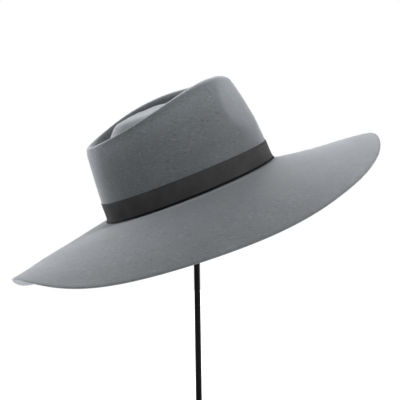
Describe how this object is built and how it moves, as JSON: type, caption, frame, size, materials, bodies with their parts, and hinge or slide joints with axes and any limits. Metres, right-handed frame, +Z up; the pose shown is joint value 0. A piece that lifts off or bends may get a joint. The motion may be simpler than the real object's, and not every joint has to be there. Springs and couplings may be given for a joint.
{
  "type": "wide-brim fedora on a rod stand",
  "caption": "Wide-brim fedora of grey felt with a teardrop crown and a plain dark ribbon, a hat for sun and dress, resting tilted on a thin rod stand with a disc base.",
  "frame": {"origin": "middle of the stand base's underside, on the axis of the rod", "axes": "+X to the front of the hat, +Y to the wearer's left, +Z up along the rod; the hat itself leans 20.7 degrees back, front raised"},
  "size_m": [0.4224, 0.385, 0.4277],
  "materials": {
    "felt": "pressed wool felt, mid grey, matt, with fine darker and paler fibres",
    "ribbon": "ribbed ribbon, charcoal, soft sheen",
    "black_paint": "black paint, satin"
  },
  "bodies": {
    "root": {"felt_body": "felt", "hat_band": "ribbon", "stand_ball": "black_paint", "stand_rod": "black_paint", "stand_base": "black_paint"}
  },
  "joints": []
}
